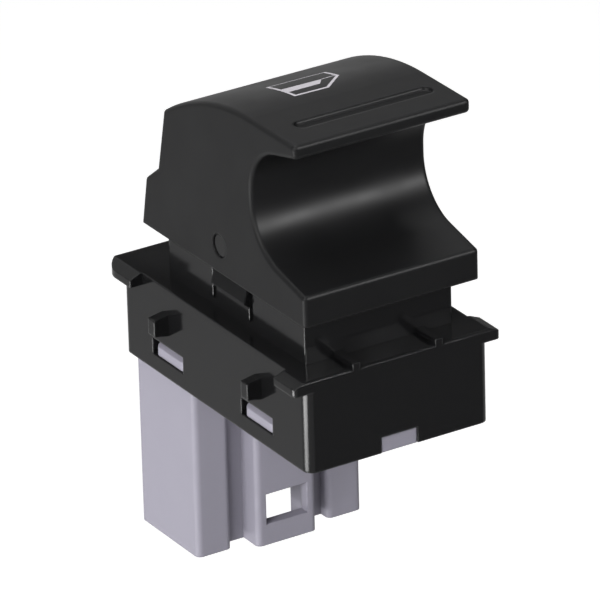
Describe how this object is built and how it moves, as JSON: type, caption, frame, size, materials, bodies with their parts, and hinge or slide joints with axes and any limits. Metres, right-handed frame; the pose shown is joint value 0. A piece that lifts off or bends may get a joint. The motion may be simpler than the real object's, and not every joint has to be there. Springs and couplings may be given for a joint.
{
  "type": "power window switch",
  "caption": "Vehicle interior window switch: a black rocker with a finger scoop tilts on a clip-in flanged housing, over a grey plug base.",
  "frame": {"origin": "centre of the panel opening, in the plane of the flange's underside, which seats on the panel", "axes": "+Z out of the panel, towards the rocker's roof; -Y is the scooped front, +Y the back with the plug shroud below; +X to the right seen from the front"},
  "size_m": [0.0242, 0.0362, 0.0529],
  "materials": {
    "rocker_black": "satin moulded ABS",
    "housing_black": "glossy moulded ABS",
    "base_grey": "satin moulded polybutylene, lavender grey",
    "board_green": "solder-masked glass-epoxy laminate",
    "silicone": "matt silicone rubber",
    "carbon_pill": "carbon-filled silicone",
    "plunger_white": "natural acetal",
    "tinned_brass": "bright tin plating",
    "lamp_white": "white case with a clear lens",
    "chip_black": "glazed ceramic chip",
    "clear_guide": "clear acrylic"
  },
  "bodies": {
    "housing": {"housing": "housing_black", "connector_base": "base_grey", "circuit_board": "board_green", "dome_mat": "silicone", "symbol_lamp": "lamp_white", "resistor_1": "chip_black", "resistor_2": "chip_black", "terminal_1": "tinned_brass", "terminal_2": "tinned_brass", "terminal_3": "tinned_brass", "terminal_4": "tinned_brass", "terminal_5": "tinned_brass", "terminal_6": "tinned_brass"},
    "rocker": {"rocker_button": "rocker_black", "light_guide": "clear_guide"},
    "front_plunger": {"front_plunger": "plunger_white", "contact_pill_1": "carbon_pill", "contact_pill_2": "carbon_pill"},
    "rear_plunger": {"rear_plunger": "plunger_white", "contact_pill_3": "carbon_pill", "contact_pill_4": "carbon_pill"}
  },
  "joints": [
    {"name": "rocker_tilt", "type": "hinge", "parent": "housing", "child": "rocker", "pos_m": [0, -0.001, 0.00955], "axis": [1, 0, 0], "range_deg": [-7, 7], "stiffness_Nm_per_rad": 0.46},
    {"name": "front_plunger_slide", "type": "slide", "parent": "housing", "child": "front_plunger", "axis": [0, 0, 1], "range_m": [-0.00074, 0.00074], "deforming": ["dome_mat"]},
    {"name": "rear_plunger_slide", "type": "slide", "parent": "housing", "child": "rear_plunger", "axis": [0, 0, 1], "range_m": [-0.00074, 0.00074]}
  ],
  "couplings": [
    {"joint": "front_plunger_slide", "follows": "rocker_tilt", "m_per_rad": -0.006},
    {"joint": "rear_plunger_slide", "follows": "rocker_tilt", "m_per_rad": 0.006}
  ]
}
